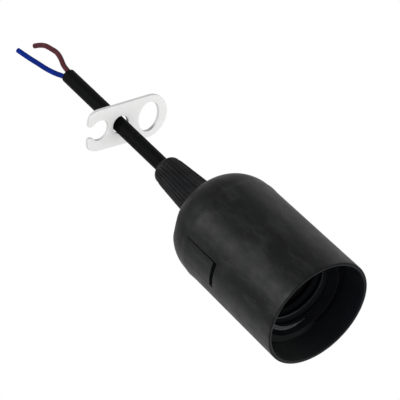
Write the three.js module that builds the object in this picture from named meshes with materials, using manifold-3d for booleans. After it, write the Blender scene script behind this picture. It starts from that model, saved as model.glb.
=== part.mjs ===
// Pendant cord set: a black screw-cap lamp holder that hangs mouth down on a short two-core cord,
// with a ribbed cord-grip nut and a white hanger plate threaded on the cord.
// Millimetres, +Z up. Heights are measured from the mouth of the shell, and the whole set is then
// lowered so that the origin is the upper end of the cord's jacket, by which the set hangs.
import * as THREE from "three";
import { mergeVertices } from "three/addons/utils/BufferGeometryUtils.js";
import Module from "manifold-3d";

// Running values
const gap = 0.3; // clearance between pieces that touch
const bite = 0.5; // how far a cutter or a joined form reaches past a face
const ringSides = 48; // segments round a moulded or turned piece
const smallSides = 16; // segments round a screw, rivet or small hole

// Shell
const mouthRadius = 21.0;
const shoulderRadius = 20.75; // the skirt tapers a little towards the shoulder
const shoulderHeight = 50.2;
const shoulderStep = 0.3; // the dome is this much smaller in radius than the skirt
const domeCorner = 14.4; // radius of the dome's round corner
const domeStart = 51.2; // height at which the dome's corner begins
const skirtWall = 1.6;
const domeWall = 2.0;
const lipWall = 1.3;
const lipRound = 0.4;
const roundShare = 0.3; // where the lip's round crosses its diagonal, as a share of its radius
const lipDepth = 8.5; // height at which the thin lip has grown to the skirt's wall
const ribCount = 6; // inner ribs that the insert rests against
const ribThickness = 1.4;
const ribDepth = 1.9;

// Latch tongues in the skirt
const tongueCount = 2;
const tongueWidth = 10.0;
const tongueFoot = 34.0; // height of the tongue's free end
const tongueLength = 15.0;
const slitWidth = 0.5;
const footGap = 1.7; // opening below the free end
const toothHeight = 1.7;
const toothDepth = 1.4;
const toothWidth = 6.0;
const toothRampShare = 0.55; // share of the tooth's height that slopes

// Threaded barrel of the insert
const threadPitch = 3.629;
const threadCrest = 12.35;
const threadRoot = 13.5;
const barrelMouth = 9.5; // depth of the barrel's front face inside the skirt
const funnelOuter = 16.0; // the lead-in cone in front of the thread
const funnelInner = 14.2;
const funnelDepth = 1.8;
const threadStart = 11.4;
const threadLead = 1.66; // height of the crest above threadStart at angle 0
const threadEnd = 31.0;
const threadFade = 1.5; // length over which the thread runs in and out
const sleeveWall = 1.9;
const frontFlange = 1.8; // thickness of the front flange
const collarThickness = 2.4;
const bossRadius = 2.6;
const bossLength = 6.0;
const bossFloor = 1.0; // left below the screw hole

// Contact base
const baseThickness = 4.0;
const partitionThickness = 2.0; // the wall between the terminals
const partitionLength = 23.0;
const contactSpread = 36; // degrees between the terminals and their rivets
const rivetRing = 9.8; // the rivets' distance from the axis
const rivetRadius = 1.2;
const rivetHead = 2.1;
const rivetHeadThickness = 0.9;
const rivetCrown = 0.8; // the head's top, as a share of its radius

// Contacts
const stripThickness = 0.5;
const stripWidth = 5.0;
const centreDrop = 3.4; // how far the centre contact springs down from its strip
const centrePad = 0.8; // half the length of its flat part, which meets the lamp's tip
const centreTail = 1.8; // its free end beyond that
const sideReach = 6.2; // how far the side contact reaches down from the collar's top
const sideBulge = 1.0;
const sideBulgeRise = 1.86; // height of the bulge above the contact's foot
const sideBulgeLength = 2.2; // from the bulge up to the straight part

// Terminals
const terminalRing = 7.5; // the wire holes' distance from the axis
const terminalDepth = 5.4;
const terminalWidth = 6.4;
const terminalHeight = 6.0;
const wireHoleRadius = 1.1;
const footThickness = 1.0;
const screwRadius = 1.25;
const screwHeadRadius = 2.2;
const screwHeadHeight = 1.5;
const slotWidth = 0.7;
const slotDepth = 0.7;

// Insert screws
const insertScrewInset = 1.85; // from the base's edge to a screw's middle
const insertScrewAngle = 60; // degrees from the terminals
const insertScrewRadius = 1.0;
const insertHeadRadius = 1.8;
const insertHeadHeight = 1.3;
const insertScrewLength = 8.6;

// Cord
const jacketRadius = 2.85;
const jacketEnd = 154.0; // height of the jacket's upper end
const jacketSides = 16;
const jacketStep = 13; // length of one step along the straight tube
const jacketTail = 2.4; // how far the jacket reaches down inside the dome
const pairTurn = 56; // degrees from +X to the brown core, seen from above
const coreRadius = 1.0;
const coreGap = 0.3; // between the two cores
const coreSides = 8;
const coreSteps = 36;
const bendPoints = 7;
const straightPoints = 8;
const strandRadius = 0.6;
const strandLength = 4.2;
// The cores' free ends, [x, y, height above the jacket], chosen by hand along the bends they keep
const blueFreeEnd = [
  [-1.1, -1.4, 2.5], [-1.7, -2.2, 5.5], [-2.4, -3.0, 10.0], [-2.9, -3.7, 15.5],
  [-3.4, -4.4, 21.0], [-3.8, -5.1, 27.2],
];
const brownFreeEnd = [
  [0.8, 0.9, 2.5], [1.1, 1.2, 5.5], [1.5, 2.3, 9.2], [1.5, 3.1, 13.0],
  [0.9, 3.1, 17.0], [0.1, 2.8, 20.8], [-1.3, 2.2, 23.7], [-2.9, 1.6, 26.0],
];

// Cord grip
const nippleRadius = 5.0;
const nippleBore = 4.0;
const nippleHeight = 12.0;
const colletHead = 4.8;
const colletRise = 2.6; // the height of the collet's head
const colletCollar = 1.0; // the straight part of that height
const colletLip = 0.55; // width of the head's top
const colletSlots = 4;
const nutBaseRadius = 7.3;
const nutTopRadius = 5.4;
const nutHeight = 24.1;
const nutRound = 1.8;
const nutRibs = 28;
const nutRibDepth = 0.4;
const nutPlainTop = 2.2; // ribs stop this far below the nut's top

// Hanger plate
const plateThickness = 1.5;
const plateBevel = 0.25;
const hookRadius = 8.3;
const hookInner = 4.0;
const hookTipAcross = 3.25; // the tips' distance from the plate's middle line
const hookTipAlong = 4.33; // and from the hook's centre, outwards
const hookTipRadius = 1.05;
const hookArmAngle = 120; // degrees from the plate's middle line to where the hook's arm thins
const hookTipStart = 150; // degrees, the round tip's outer and inner ends
const hookTipEnd = 325;
const hookThroat = 140; // degrees, where the hook's inner round ends
const eyeOuter = 8.7;
const eyeAlong = 4.85;
const eyeAcross = 6.05;
const hookToEye = 22.95;
const hookToHole = 9.4;
const cordHoleRadius = 3.3;
const plateHeight = 119.8; // height of the plate's middle on the cord
const plateTurn = 93.1; // degrees about the cord
const platePitch = -2.3; // degrees, the eye a little higher than the hook
const plateTilt = -9.6; // degrees about the plate's long line

// Worked-out heights and radii
const skirtBore = shoulderRadius - skirtWall;
const domeRadius = shoulderRadius - shoulderStep;
const domeTop = domeStart + domeCorner;
const barrelOuter = skirtBore - gap;
const sleeveRadius = threadRoot + sleeveWall;
const collarFoot = tongueFoot + toothHeight + gap;
const collarTop = collarFoot + collarThickness;
const ribFoot = collarTop + gap;
const baseFoot = collarTop + gap;
const baseRadius = skirtBore - ribDepth - gap;
const baseTop = baseFoot + baseThickness;
const insertScrewRing = baseRadius - insertScrewInset;
const terminalFoot = baseTop + gap;
const terminalTop = terminalFoot + terminalHeight;
const cordBore = jacketRadius + gap;
const cavityTop = domeTop - domeWall;
const jacketFoot = cavityTop - jacketTail;
const nippleTop = domeTop + nippleHeight;
const colletFoot = nippleTop + gap;
const colletShoulder = colletFoot + colletCollar;
const colletTop = colletFoot + colletRise;
const colletNose = cordBore + colletLip;
const nutFoot = domeTop + gap;
const nutTop = nutFoot + nutHeight;
const coreOffset = coreRadius + coreGap / 2;
const coreFoot = terminalTop + gap;

const wasm = await Module();
wasm.setup();

// Welds a geometry's corners, drops collapsed triangles and turns its faces outwards.
function weld(geometry) {
  geometry.deleteAttribute("normal");
  geometry.deleteAttribute("uv");
  const merged = mergeVertices(geometry.index ? geometry.toNonIndexed() : geometry, 1e-4);
  const corner = merged.index.array;
  const kept = [];
  for (let i = 0; i < corner.length; i += 3) {
    const [a, b, c] = [corner[i], corner[i + 1], corner[i + 2]];
    if (a !== b && b !== c && c !== a) kept.push(a, b, c);
  }
  if (signedVolume(merged.attributes.position, kept) < 0) {
    for (let i = 0; i < kept.length; i += 3) [kept[i + 1], kept[i + 2]] = [kept[i + 2], kept[i + 1]];
  }
  merged.setIndex(kept);
  return merged;
}

function signedVolume(position, corner) {
  const [a, b, c] = [new THREE.Vector3(), new THREE.Vector3(), new THREE.Vector3()];
  let volume = 0;
  for (let i = 0; i < corner.length; i += 3) {
    a.fromBufferAttribute(position, corner[i]);
    b.fromBufferAttribute(position, corner[i + 1]);
    c.fromBufferAttribute(position, corner[i + 2]);
    volume += a.dot(b.cross(c)) / 6;
  }
  return volume;
}

function solid(geometry) {
  const welded = weld(geometry);
  return new wasm.Manifold(new wasm.Mesh({
    numProp: 3,
    vertProperties: new Float32Array(welded.attributes.position.array),
    triVerts: new Uint32Array(welded.index.array),
  }));
}

function toGeometry(body) {
  const mesh = body.getMesh();
  const geometry = new THREE.BufferGeometry();
  geometry.setAttribute("position", new THREE.BufferAttribute(mesh.vertProperties, 3));
  geometry.setIndex(new THREE.BufferAttribute(mesh.triVerts, 1));
  return geometry;
}

function cut(geometry, cutters) {
  return toGeometry(cutters.reduce((body, cutter) => body.subtract(solid(cutter)), solid(geometry)));
}

function join(geometry, additions) {
  return toGeometry(additions.reduce((body, piece) => body.add(solid(piece)), solid(geometry)));
}

// A ring or a disc turned about Z. The profile is a list of [radius, height] and closes by itself.
function turned(profile, sides = ringSides) {
  const points = profile.map(([r, h]) => new THREE.Vector2(r, h));
  const onAxis = points[0].x === 0 && points[points.length - 1].x === 0;
  if (!onAxis) points.push(points[0].clone());
  return weld(new THREE.LatheGeometry(points, sides).rotateX(Math.PI / 2));
}

function rod(radius, foot, top, sides = smallSides) {
  return turned([[0, foot], [radius, foot], [radius, top], [0, top]], sides);
}

// A box given by its lowest and highest corners.
function block(low, high) {
  const size = high.map((value, i) => value - low[i]);
  return new THREE.BoxGeometry(...size).translate(...low.map((value, i) => value + size[i] / 2));
}

// A flat outline in the X-Z plane, given a width along Y, centred on Y = 0.
function sideExtrusion(outline, width) {
  const shape = new THREE.Shape(outline.map(([x, z]) => new THREE.Vector2(x, z)));
  return new THREE.ExtrudeGeometry(shape, { depth: width, bevelEnabled: false })
    .rotateX(Math.PI / 2)
    .translate(0, width / 2, 0);
}

function arcPoints(centre, radius, from, to, steps) {
  return Array.from({ length: steps + 1 }, (_, i) => {
    const angle = THREE.MathUtils.degToRad(from + ((to - from) * i) / steps);
    return [centre[0] + radius * Math.cos(angle), centre[1] + radius * Math.sin(angle)];
  });
}

function around(count, make) {
  return Array.from({ length: count }, (_, i) => make((i * 2 * Math.PI) / count, i));
}

// Joins closed rings of corners into one body, the last ring to the first. Each ring is a function
// that gives [radius, height] for an angle and a corner's number.
function ringBody(rings, sides) {
  const vertices = [];
  for (const ring of rings) {
    for (let j = 0; j < sides; j++) {
      const angle = (2 * Math.PI * j) / sides;
      const [r, h] = ring(angle, j);
      vertices.push(r * Math.cos(angle), r * Math.sin(angle), h);
    }
  }
  const corner = [];
  for (let i = 0; i < rings.length; i++) {
    const next = (i + 1) % rings.length;
    for (let j = 0; j < sides; j++) {
      const k = (j + 1) % sides;
      const [a, b, c, d] = [i * sides + j, i * sides + k, next * sides + k, next * sides + j];
      corner.push(a, b, c, a, c, d);
    }
  }
  const geometry = new THREE.BufferGeometry();
  geometry.setAttribute("position", new THREE.Float32BufferAttribute(vertices, 3));
  geometry.setIndex(corner);
  return weld(geometry);
}

function plainRing(r, h) {
  return () => [r, h];
}

// Materials
function finish(color, roughness, metalness = 0) {
  return new THREE.MeshStandardMaterial({ color, roughness, metalness });
}
const shellPlastic = finish(0x1b1c1d, 0.42);
const nutPlastic = finish(0x141516, 0.5);
const insertPlastic = finish(0x121213, 0.55);
const basePlastic = finish(0x2a2725, 0.6);
const platePlastic = finish(0xe8e8e6, 0.4);
const cordPlastic = finish(0x101212, 0.45);
const bluePlastic = finish(0x0b2f8f, 0.4);
const brownPlastic = finish(0x5e2f2c, 0.4);
const copper = finish(0xb4683c, 0.35, 1);
const brass = finish(0xb89a4e, 0.35, 1);
const steel = finish(0xa9abad, 0.35, 1);

function piece(name, geometry, material) {
  const mesh = new THREE.Mesh(geometry, material);
  mesh.name = name;
  return mesh;
}

// Shell: skirt, shoulder and round-cornered dome in one moulding, with a hollow nipple on top.
function shellProfile() {
  const rimInner = mouthRadius - lipWall;
  const corner = [domeRadius - domeCorner, domeStart];
  return [
    [rimInner + lipRound, 0],
    [mouthRadius - lipRound, 0],
    [mouthRadius - lipRound * roundShare, lipRound * roundShare],
    [mouthRadius, lipRound],
    [shoulderRadius, shoulderHeight - shoulderStep],
    [domeRadius, shoulderHeight + shoulderStep],
    ...arcPoints(corner, domeCorner, 0, 90, 10),
    [nippleRadius, domeTop],
    [nippleRadius, nippleTop],
    [nippleBore, nippleTop],
    [nippleBore, domeTop],
    [cordBore, domeTop],
    [cordBore, cavityTop],
    ...arcPoints(corner, domeCorner - domeWall, 90, 0, 7),
    [skirtBore, shoulderHeight - domeWall],
    [skirtBore, lipDepth],
    [rimInner, lipRound],
  ];
}

function tongueCutters(angle) {
  const inner = skirtBore - ribDepth - bite;
  const outer = Math.max(mouthRadius, shoulderRadius) + bite;
  const half = tongueWidth / 2;
  const root = tongueFoot + tongueLength;
  const slit = (side) => block(
    [inner, side - slitWidth / 2, tongueFoot - bite],
    [outer, side + slitWidth / 2, root],
  );
  const foot = block(
    [inner, -half - slitWidth / 2, tongueFoot - footGap],
    [outer, half + slitWidth / 2, tongueFoot],
  );
  return [slit(-half), slit(half), foot].map((cutter) => cutter.rotateZ(angle));
}

function tongueTooth(angle) {
  const root = skirtBore + skirtWall / 2;
  const tip = skirtBore - toothDepth;
  const outline = [
    [root, tongueFoot],
    [skirtBore - gap, tongueFoot],
    [tip, tongueFoot + toothHeight * toothRampShare],
    [tip, tongueFoot + toothHeight],
    [root, tongueFoot + toothHeight],
  ];
  return sideExtrusion(outline, toothWidth).rotateZ(angle);
}

function shellRib(angle) {
  const low = [skirtBore - ribDepth, -ribThickness / 2, ribFoot];
  const high = [skirtBore + skirtWall / 4, ribThickness / 2, domeStart + ribDepth];
  return block(low, high).rotateZ(angle);
}

function outerShell() {
  const firstTongue = -Math.PI / 2;
  const tongues = around(tongueCount, (angle) => firstTongue + angle);
  const ribs = around(ribCount, (angle) => shellRib(angle));
  const ribbed = join(turned(shellProfile()), [...ribs, ...tongues.map(tongueTooth)]);
  return piece("outer_shell", cut(ribbed, tongues.flatMap(tongueCutters)), shellPlastic);
}

// Barrel: one moulding with the lamp thread inside, a front flange and a rear collar.
function threadRadius(height, angle) {
  const climb = height - threadStart - threadLead;
  const crestShare = (1 + Math.cos((2 * Math.PI * climb) / threadPitch - angle)) / 2;
  const runIn = THREE.MathUtils.smoothstep(height, threadStart, threadStart + threadFade);
  const runOut = 1 - THREE.MathUtils.smoothstep(height, threadEnd - threadFade, threadEnd);
  return threadRoot - (threadRoot - threadCrest) * crestShare * Math.min(runIn, runOut);
}

function barrelProfile() {
  const flangeTop = barrelMouth + frontFlange;
  return [
    [funnelOuter, barrelMouth],
    [barrelOuter, barrelMouth],
    [barrelOuter, flangeTop],
    [sleeveRadius, flangeTop + frontFlange],
    [sleeveRadius, collarFoot - gap],
    [sleeveRadius + gap, collarFoot],
    [barrelOuter, collarFoot],
    [barrelOuter, collarTop],
    [threadRoot, collarTop],
    [threadRoot, threadEnd],
  ];
}

// The thread is a right-hand one, so its crest climbs as it turns.
function threadedTube(profile, sides) {
  const stepsPerPitch = 6;
  const threadLength = threadEnd - threadStart;
  const steps = Math.round((threadLength / threadPitch) * stepsPerPitch);
  const rings = profile.map(([r, h]) => plainRing(r, h));
  for (let i = 1; i < steps; i++) {
    const height = threadEnd - (threadLength * i) / steps;
    rings.push((angle) => [threadRadius(height, angle), height]);
  }
  rings.push(plainRing(threadRoot, threadStart));
  rings.push(plainRing(funnelInner, barrelMouth + funnelDepth));
  return ringBody(rings, sides);
}

function insertScrewPlaces() {
  const first = THREE.MathUtils.degToRad(insertScrewAngle);
  return around(2, (angle) => [
    insertScrewRing * Math.cos(first + angle),
    insertScrewRing * Math.sin(first + angle),
  ]);
}

function threadBarrel() {
  const bosses = insertScrewPlaces().map(([x, y]) =>
    rod(bossRadius, collarFoot - bossLength, collarFoot + bite).translate(x, y, 0));
  const hollow = rod(threadRoot + sleeveWall / 2, collarFoot - bossLength - bite, collarTop, ringSides);
  const holes = insertScrewPlaces().map(([x, y]) =>
    rod(insertScrewRadius + gap, collarFoot - bossLength + bossFloor, collarTop + bite).translate(x, y, 0));
  const sleeve = threadedTube(barrelProfile(), ringSides);
  const bossed = join(sleeve, bosses.map((boss) => cut(boss, [hollow])));
  return piece("thread_barrel", cut(bossed, holes), insertPlastic);
}

// Base: the disc that carries the terminals above and the contacts below.
function contactBase() {
  const disc = rod(baseRadius, baseFoot, baseTop, ringSides);
  const half = [partitionThickness / 2, partitionLength / 2];
  const partition = block([-half[0], -half[1], baseTop - bite], [half[0], half[1], terminalTop]);
  const rivetHoles = rivetPlaces().map(([x, y]) =>
    rod(rivetRadius + gap, baseFoot - bite, baseTop + bite).translate(x, y, 0));
  const screwHoles = insertScrewPlaces().map(([x, y]) =>
    rod(insertScrewRadius + gap, baseFoot - bite, baseTop + bite).translate(x, y, 0));
  return piece("contact_base", cut(join(disc, [partition]), [...rivetHoles, ...screwHoles]), basePlastic);
}

function rivetPlaces() {
  const first = THREE.MathUtils.degToRad(contactSpread);
  return around(2, (angle) => [rivetRing * Math.cos(first + angle), rivetRing * Math.sin(first + angle)]);
}

// A terminal is a brass pillar with a foot that its rivet holds down.
function terminal(name) {
  const near = terminalRing - terminalDepth / 2;
  const far = terminalRing + terminalDepth / 2;
  const [rivetX, rivetY] = rivetPlaces()[0];
  const pillar = block([near, -terminalWidth / 2, terminalFoot], [far, terminalWidth / 2, terminalTop]);
  const foot = block(
    [near, terminalWidth / 2 - bite, terminalFoot],
    [far, rivetY + rivetHead, terminalFoot + footThickness],
  );
  const screwHeight = (terminalFoot + terminalTop) / 2;
  const screwHole = rod(screwRadius + gap, 0, terminalDepth).rotateY(Math.PI / 2)
    .translate(terminalRing, 0, screwHeight);
  const wireHole = rod(wireHoleRadius, terminalFoot + footThickness, terminalTop + bite)
    .translate(terminalRing, 0, 0);
  const rivetHole = rod(rivetRadius + gap, terminalFoot - bite, terminalFoot + footThickness + bite)
    .translate(rivetX, rivetY, 0);
  return piece(name, cut(join(pillar, [foot]), [screwHole, wireHole, rivetHole]), brass);
}

function slottedHead(radius, foot, top) {
  const head = rod(radius, foot, top);
  const slot = block(
    [-radius - bite, -slotWidth / 2, top - slotDepth],
    [radius + bite, slotWidth / 2, top + bite],
  );
  return [head, slot];
}

function terminalScrew(name) {
  const reach = terminalDepth / 2 - strandRadius - gap;
  const [head, slot] = slottedHead(screwHeadRadius, gap, gap + screwHeadHeight);
  const shank = rod(screwRadius, -reach, gap + bite);
  const geometry = cut(join(head, [shank]), [slot])
    .rotateY(Math.PI / 2)
    .translate(terminalRing + terminalDepth / 2, 0, (terminalFoot + terminalTop) / 2);
  return piece(name, geometry, steel);
}

function contactRivet(name) {
  const [x, y] = rivetPlaces()[0];
  const headFoot = terminalFoot + footThickness + gap;
  const tailTop = baseFoot - gap - stripThickness - gap;
  const profile = [
    [0, tailTop - rivetHeadThickness],
    [rivetHead * rivetCrown, tailTop - rivetHeadThickness],
    [rivetHead, tailTop],
    [rivetRadius, tailTop],
    [rivetRadius, headFoot],
    [rivetHead, headFoot],
    [rivetHead * rivetCrown, headFoot + rivetHeadThickness],
    [0, headFoot + rivetHeadThickness],
  ];
  return piece(name, turned(profile, smallSides).translate(x, y, 0), brass);
}

// A sprung strip: a bent outline in the X-Z plane, with the rivet's hole through its flat end.
function contactStrip(name, upper) {
  const lower = upper.map(([x, z]) => [x, z - stripThickness]).reverse();
  const strip = sideExtrusion([...upper, ...lower], stripWidth);
  const hole = rod(rivetRadius + gap, collarFoot - sideReach, baseTop).translate(rivetRing, 0, 0);
  const geometry = cut(strip, [hole]).rotateZ(THREE.MathUtils.degToRad(contactSpread));
  return piece(name, geometry, brass);
}

function centreContact() {
  const top = baseFoot - gap;
  return contactStrip("centre_contact", [
    [rivetRing + rivetHead + gap, top],
    [rivetRing - rivetHead - gap, top],
    [centrePad * 3, top - centreDrop + gap],
    [centrePad, top - centreDrop],
    [-centrePad, top - centreDrop],
    [-centrePad - centreTail, top - centreDrop + centreTail / 2],
  ]);
}

// The side contact is riveted on the other side and hangs down the barrel wall to meet the lamp's cap.
function sideContact() {
  const top = baseFoot - gap;
  const outer = threadRoot - gap;
  const inner = outer - stripThickness;
  const foot = collarTop - sideReach;
  const bulgeHeight = foot + sideBulgeRise;
  const outline = [
    [rivetRing - rivetHead - gap, top],
    [outer, top],
    [outer, bulgeHeight + sideBulgeLength],
    [outer - sideBulge, bulgeHeight],
    [outer - gap, foot],
    [inner - gap, foot],
    [inner - sideBulge, bulgeHeight],
    [inner, bulgeHeight + sideBulgeLength],
    [inner, top - stripThickness],
    [rivetRing - rivetHead - gap, top - stripThickness],
  ];
  const strip = sideExtrusion(outline, stripWidth * 0.5);
  const pad = block(
    [rivetRing - rivetHead - gap, -stripWidth / 2, top - stripThickness],
    [rivetRing + rivetHead, stripWidth / 2, top],
  );
  const hole = rod(rivetRadius + gap, top - stripThickness - bite, top + bite).translate(rivetRing, 0, 0);
  const geometry = cut(join(strip, [pad]), [hole]).rotateZ(THREE.MathUtils.degToRad(contactSpread));
  return piece("side_contact", geometry, brass);
}

function insertScrew(name, [x, y]) {
  const foot = baseTop + gap;
  const [head, slot] = slottedHead(insertHeadRadius, foot, foot + insertHeadHeight);
  const shank = rod(insertScrewRadius, foot - insertScrewLength, foot + bite);
  return piece(name, cut(join(head, [shank]), [slot]).translate(x, y, 0), steel);
}

// The insert: barrel, base, contacts, terminals and their fastenings.
function insert() {
  const group = new THREE.Group();
  const live = new THREE.Group();
  const neutral = new THREE.Group();
  neutral.rotation.z = Math.PI;
  live.add(terminal("live_terminal"), terminalScrew("live_terminal_screw"), contactRivet("live_rivet"));
  live.add(centreContact());
  neutral.add(terminal("neutral_terminal"), terminalScrew("neutral_terminal_screw"));
  neutral.add(contactRivet("neutral_rivet"), sideContact());
  group.add(threadBarrel(), contactBase(), live, neutral);
  insertScrewPlaces().forEach((place, i) => group.add(insertScrew(`insert_screw_${i + 1}`, place)));
  group.rotation.z = Math.PI / 2;
  return group;
}

// Cord grip: a split collet round the cord, and the ribbed nut that closes it.
function gripCollet() {
  const foot = domeTop + gap;
  const profile = [
    [cordBore, foot],
    [nippleBore - gap, foot],
    [nippleBore - gap, colletFoot],
    [colletHead, colletFoot],
    [colletHead, colletShoulder],
    [colletNose, colletTop],
    [cordBore, colletTop],
  ];
  const slots = around(colletSlots / 2, (angle) => block(
    [-colletHead - bite, -slotWidth / 2, foot + nippleHeight / 3],
    [colletHead + bite, slotWidth / 2, colletTop + bite],
  ).rotateZ(angle / 2 + Math.PI / 4));
  return piece("grip_collet", cut(turned(profile, 32), slots), nutPlastic);
}

// The nut is a cone with fine ribs outside, and inside it clears the nipple and presses the collet.
function glandNut() {
  const wave = nutRibDepth / 2;
  const ribTop = nutTop - nutPlainTop;
  const outerRadius = (h) => THREE.MathUtils.mapLinear(h, nutFoot, nutTop, nutBaseRadius, nutTopRadius);
  const ribbed = (h) => (angle, j) => [outerRadius(h) + (j % 2 ? -wave : wave), h];
  const round = arcPoints([nutTopRadius - nutRound, nutTop - nutRound], nutRound, 0, 90, 4);
  const rings = [
    plainRing(outerRadius(nutFoot) - wave, nutFoot),
    ribbed(nutFoot + nutRibDepth),
    ribbed(ribTop),
    ...round.map(([r, h]) => plainRing(r, h)),
    plainRing(cordBore, nutTop),
    plainRing(cordBore, colletTop + gap),
    plainRing(colletNose + gap, colletTop + gap),
    plainRing(colletHead + gap, colletShoulder + gap / 2),
    plainRing(nippleRadius + gap, colletShoulder - gap),
    plainRing(nippleRadius + gap, nutFoot),
  ];
  return piece("gland_nut", ringBody(rings, nutRibs * 2), nutPlastic);
}

// Cord: a jacket with an oblong bore, and two cores that run through it to the terminals.
function section(radius, sides) {
  const points = Array.from({ length: sides }, (_, i) => {
    const angle = (2 * Math.PI * (i + 0.5)) / sides;
    return new THREE.Vector2(radius * Math.cos(angle), radius * Math.sin(angle));
  });
  return new THREE.Shape(points);
}

function cordJacket() {
  const outline = section(jacketRadius, jacketSides);
  const reach = coreRadius + gap;
  const ends = [
    ...arcPoints([coreOffset, 0], reach, -90, 90, 6),
    ...arcPoints([-coreOffset, 0], reach, 90, 270, 6),
  ];
  outline.holes.push(new THREE.Path(ends.map(([x, y]) => new THREE.Vector2(x, y))));
  const length = jacketEnd - jacketFoot;
  const geometry = new THREE.ExtrudeGeometry(outline, {
    depth: length,
    steps: Math.round(length / jacketStep),
    bevelEnabled: false,
  });
  geometry.rotateZ(THREE.MathUtils.degToRad(pairTurn)).translate(0, 0, jacketFoot);
  return piece("cord_jacket", geometry, cordPlastic);
}

// A core's route: up from its terminal in an S, straight through the jacket, then its free end.
// side is 1 for the brown core and -1 for the blue one. The free end is [x, y, height] above the jacket.
function coreRoute(side, freeEnd) {
  const turn = THREE.MathUtils.degToRad(pairTurn);
  const low = new THREE.Vector3(0, side * terminalRing, coreFoot);
  const inside = [side * coreOffset * Math.cos(turn), side * coreOffset * Math.sin(turn)];
  const high = new THREE.Vector3(...inside, jacketFoot);
  const bend = Array.from({ length: bendPoints }, (_, i) => {
    const share = i / (bendPoints - 1);
    const across = (1 - Math.cos(Math.PI * share)) / 2;
    const point = new THREE.Vector3().lerpVectors(low, high, across);
    point.z = THREE.MathUtils.lerp(low.z, high.z, share);
    return point;
  });
  const straight = Array.from({ length: straightPoints }, (_, i) => {
    const share = (i + 1) / straightPoints;
    return new THREE.Vector3(...inside, THREE.MathUtils.lerp(jacketFoot, jacketEnd, share));
  });
  const free = freeEnd.map(([x, y, z]) => new THREE.Vector3(x, y, jacketEnd + z));
  return new THREE.CatmullRomCurve3([...bend, ...straight, ...free]);
}

function core(name, side, freeEnd, material) {
  const geometry = new THREE.ExtrudeGeometry(section(coreRadius, coreSides), {
    steps: coreSteps,
    extrudePath: coreRoute(side, freeEnd),
    bevelEnabled: false,
  });
  return piece(name, geometry, material);
}

function strand(name, side) {
  const top = terminalTop;
  const middle = [0, side * terminalRing, 0];
  const geometry = rod(strandRadius, top - strandLength, top, coreSides).translate(...middle);
  return piece(name, geometry, copper);
}

// Hanger plate, drawn with the cord hole at its middle, the hook towards -X and the eye towards +X.
function plateOutline() {
  const [hook, eye] = [[-hookToHole, 0], [hookToEye - hookToHole, 0]];
  const tangent = THREE.MathUtils.radToDeg(Math.acos((hookRadius - eyeOuter) / hookToEye));
  const tip = [hook[0] - hookTipAlong, hookTipAcross];
  const upper = [
    ...arcPoints(hook, hookRadius, tangent, hookArmAngle, 3),
    ...arcPoints(tip, hookTipRadius, hookTipStart, hookTipEnd, 6),
  ];
  const lower = upper.map(([x, y]) => [x, -y]).reverse();
  return [
    ...arcPoints(eye, eyeOuter, -tangent, tangent, 24),
    ...upper,
    ...arcPoints(hook, hookInner, hookThroat, -hookThroat, 20),
    ...lower,
  ];
}

function hangerPlate() {
  const vector = ([x, y]) => new THREE.Vector2(x, y);
  const shape = new THREE.Shape(plateOutline().map(vector));
  const hole = arcPoints([0, 0], cordHoleRadius, 0, 345, 23);
  const eye = arcPoints([0, 0], 1, 0, 345, 23)
    .map(([x, y]) => [hookToEye - hookToHole + x * eyeAlong, y * eyeAcross]);
  shape.holes.push(new THREE.Path(hole.map(vector)), new THREE.Path(eye.map(vector)));
  const flat = plateThickness - 2 * plateBevel;
  const geometry = new THREE.ExtrudeGeometry(shape, {
    depth: flat,
    bevelSize: plateBevel,
    bevelThickness: plateBevel,
    bevelOffset: -plateBevel,
    bevelSegments: 1,
  });
  const plate = piece("hanger_plate", geometry.translate(0, 0, -flat / 2), platePlastic);
  const degrees = THREE.MathUtils.degToRad;
  plate.rotation.set(degrees(plateTilt), degrees(platePitch), degrees(plateTurn), "ZYX");
  plate.position.z = plateHeight;
  return plate;
}

// The set, hung from its cord
const pendant = new THREE.Group();
pendant.name = "pendant_cord_set";
pendant.add(outerShell(), insert(), gripCollet(), glandNut(), cordJacket());
pendant.add(core("blue_core", -1, blueFreeEnd, bluePlastic));
pendant.add(core("brown_core", 1, brownFreeEnd, brownPlastic));
pendant.add(strand("blue_strand", -1), strand("brown_strand", 1));
pendant.add(hangerPlate());
pendant.position.z = -jacketEnd;

export default pendant;
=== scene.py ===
import math

import bmesh
import bpy
from mathutils import Matrix, Vector


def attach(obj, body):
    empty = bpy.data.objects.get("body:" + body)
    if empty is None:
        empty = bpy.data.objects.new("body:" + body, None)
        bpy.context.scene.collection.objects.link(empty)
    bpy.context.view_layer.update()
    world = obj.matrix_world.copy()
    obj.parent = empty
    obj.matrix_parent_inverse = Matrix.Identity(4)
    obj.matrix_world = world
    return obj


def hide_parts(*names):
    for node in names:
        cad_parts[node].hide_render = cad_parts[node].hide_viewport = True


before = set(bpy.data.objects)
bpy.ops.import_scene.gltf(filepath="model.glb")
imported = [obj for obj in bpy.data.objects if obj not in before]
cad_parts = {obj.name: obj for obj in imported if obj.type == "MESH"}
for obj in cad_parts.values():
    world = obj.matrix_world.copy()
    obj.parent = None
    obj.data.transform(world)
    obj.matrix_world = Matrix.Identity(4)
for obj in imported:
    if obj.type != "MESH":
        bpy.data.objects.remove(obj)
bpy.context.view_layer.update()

# Sizes are in millimetres, turns in degrees, and heights are measured from the shell's mouth. MM
# turns millimetres into metres. The origin is the upper end of the jacket.
MM = 0.001

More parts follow.
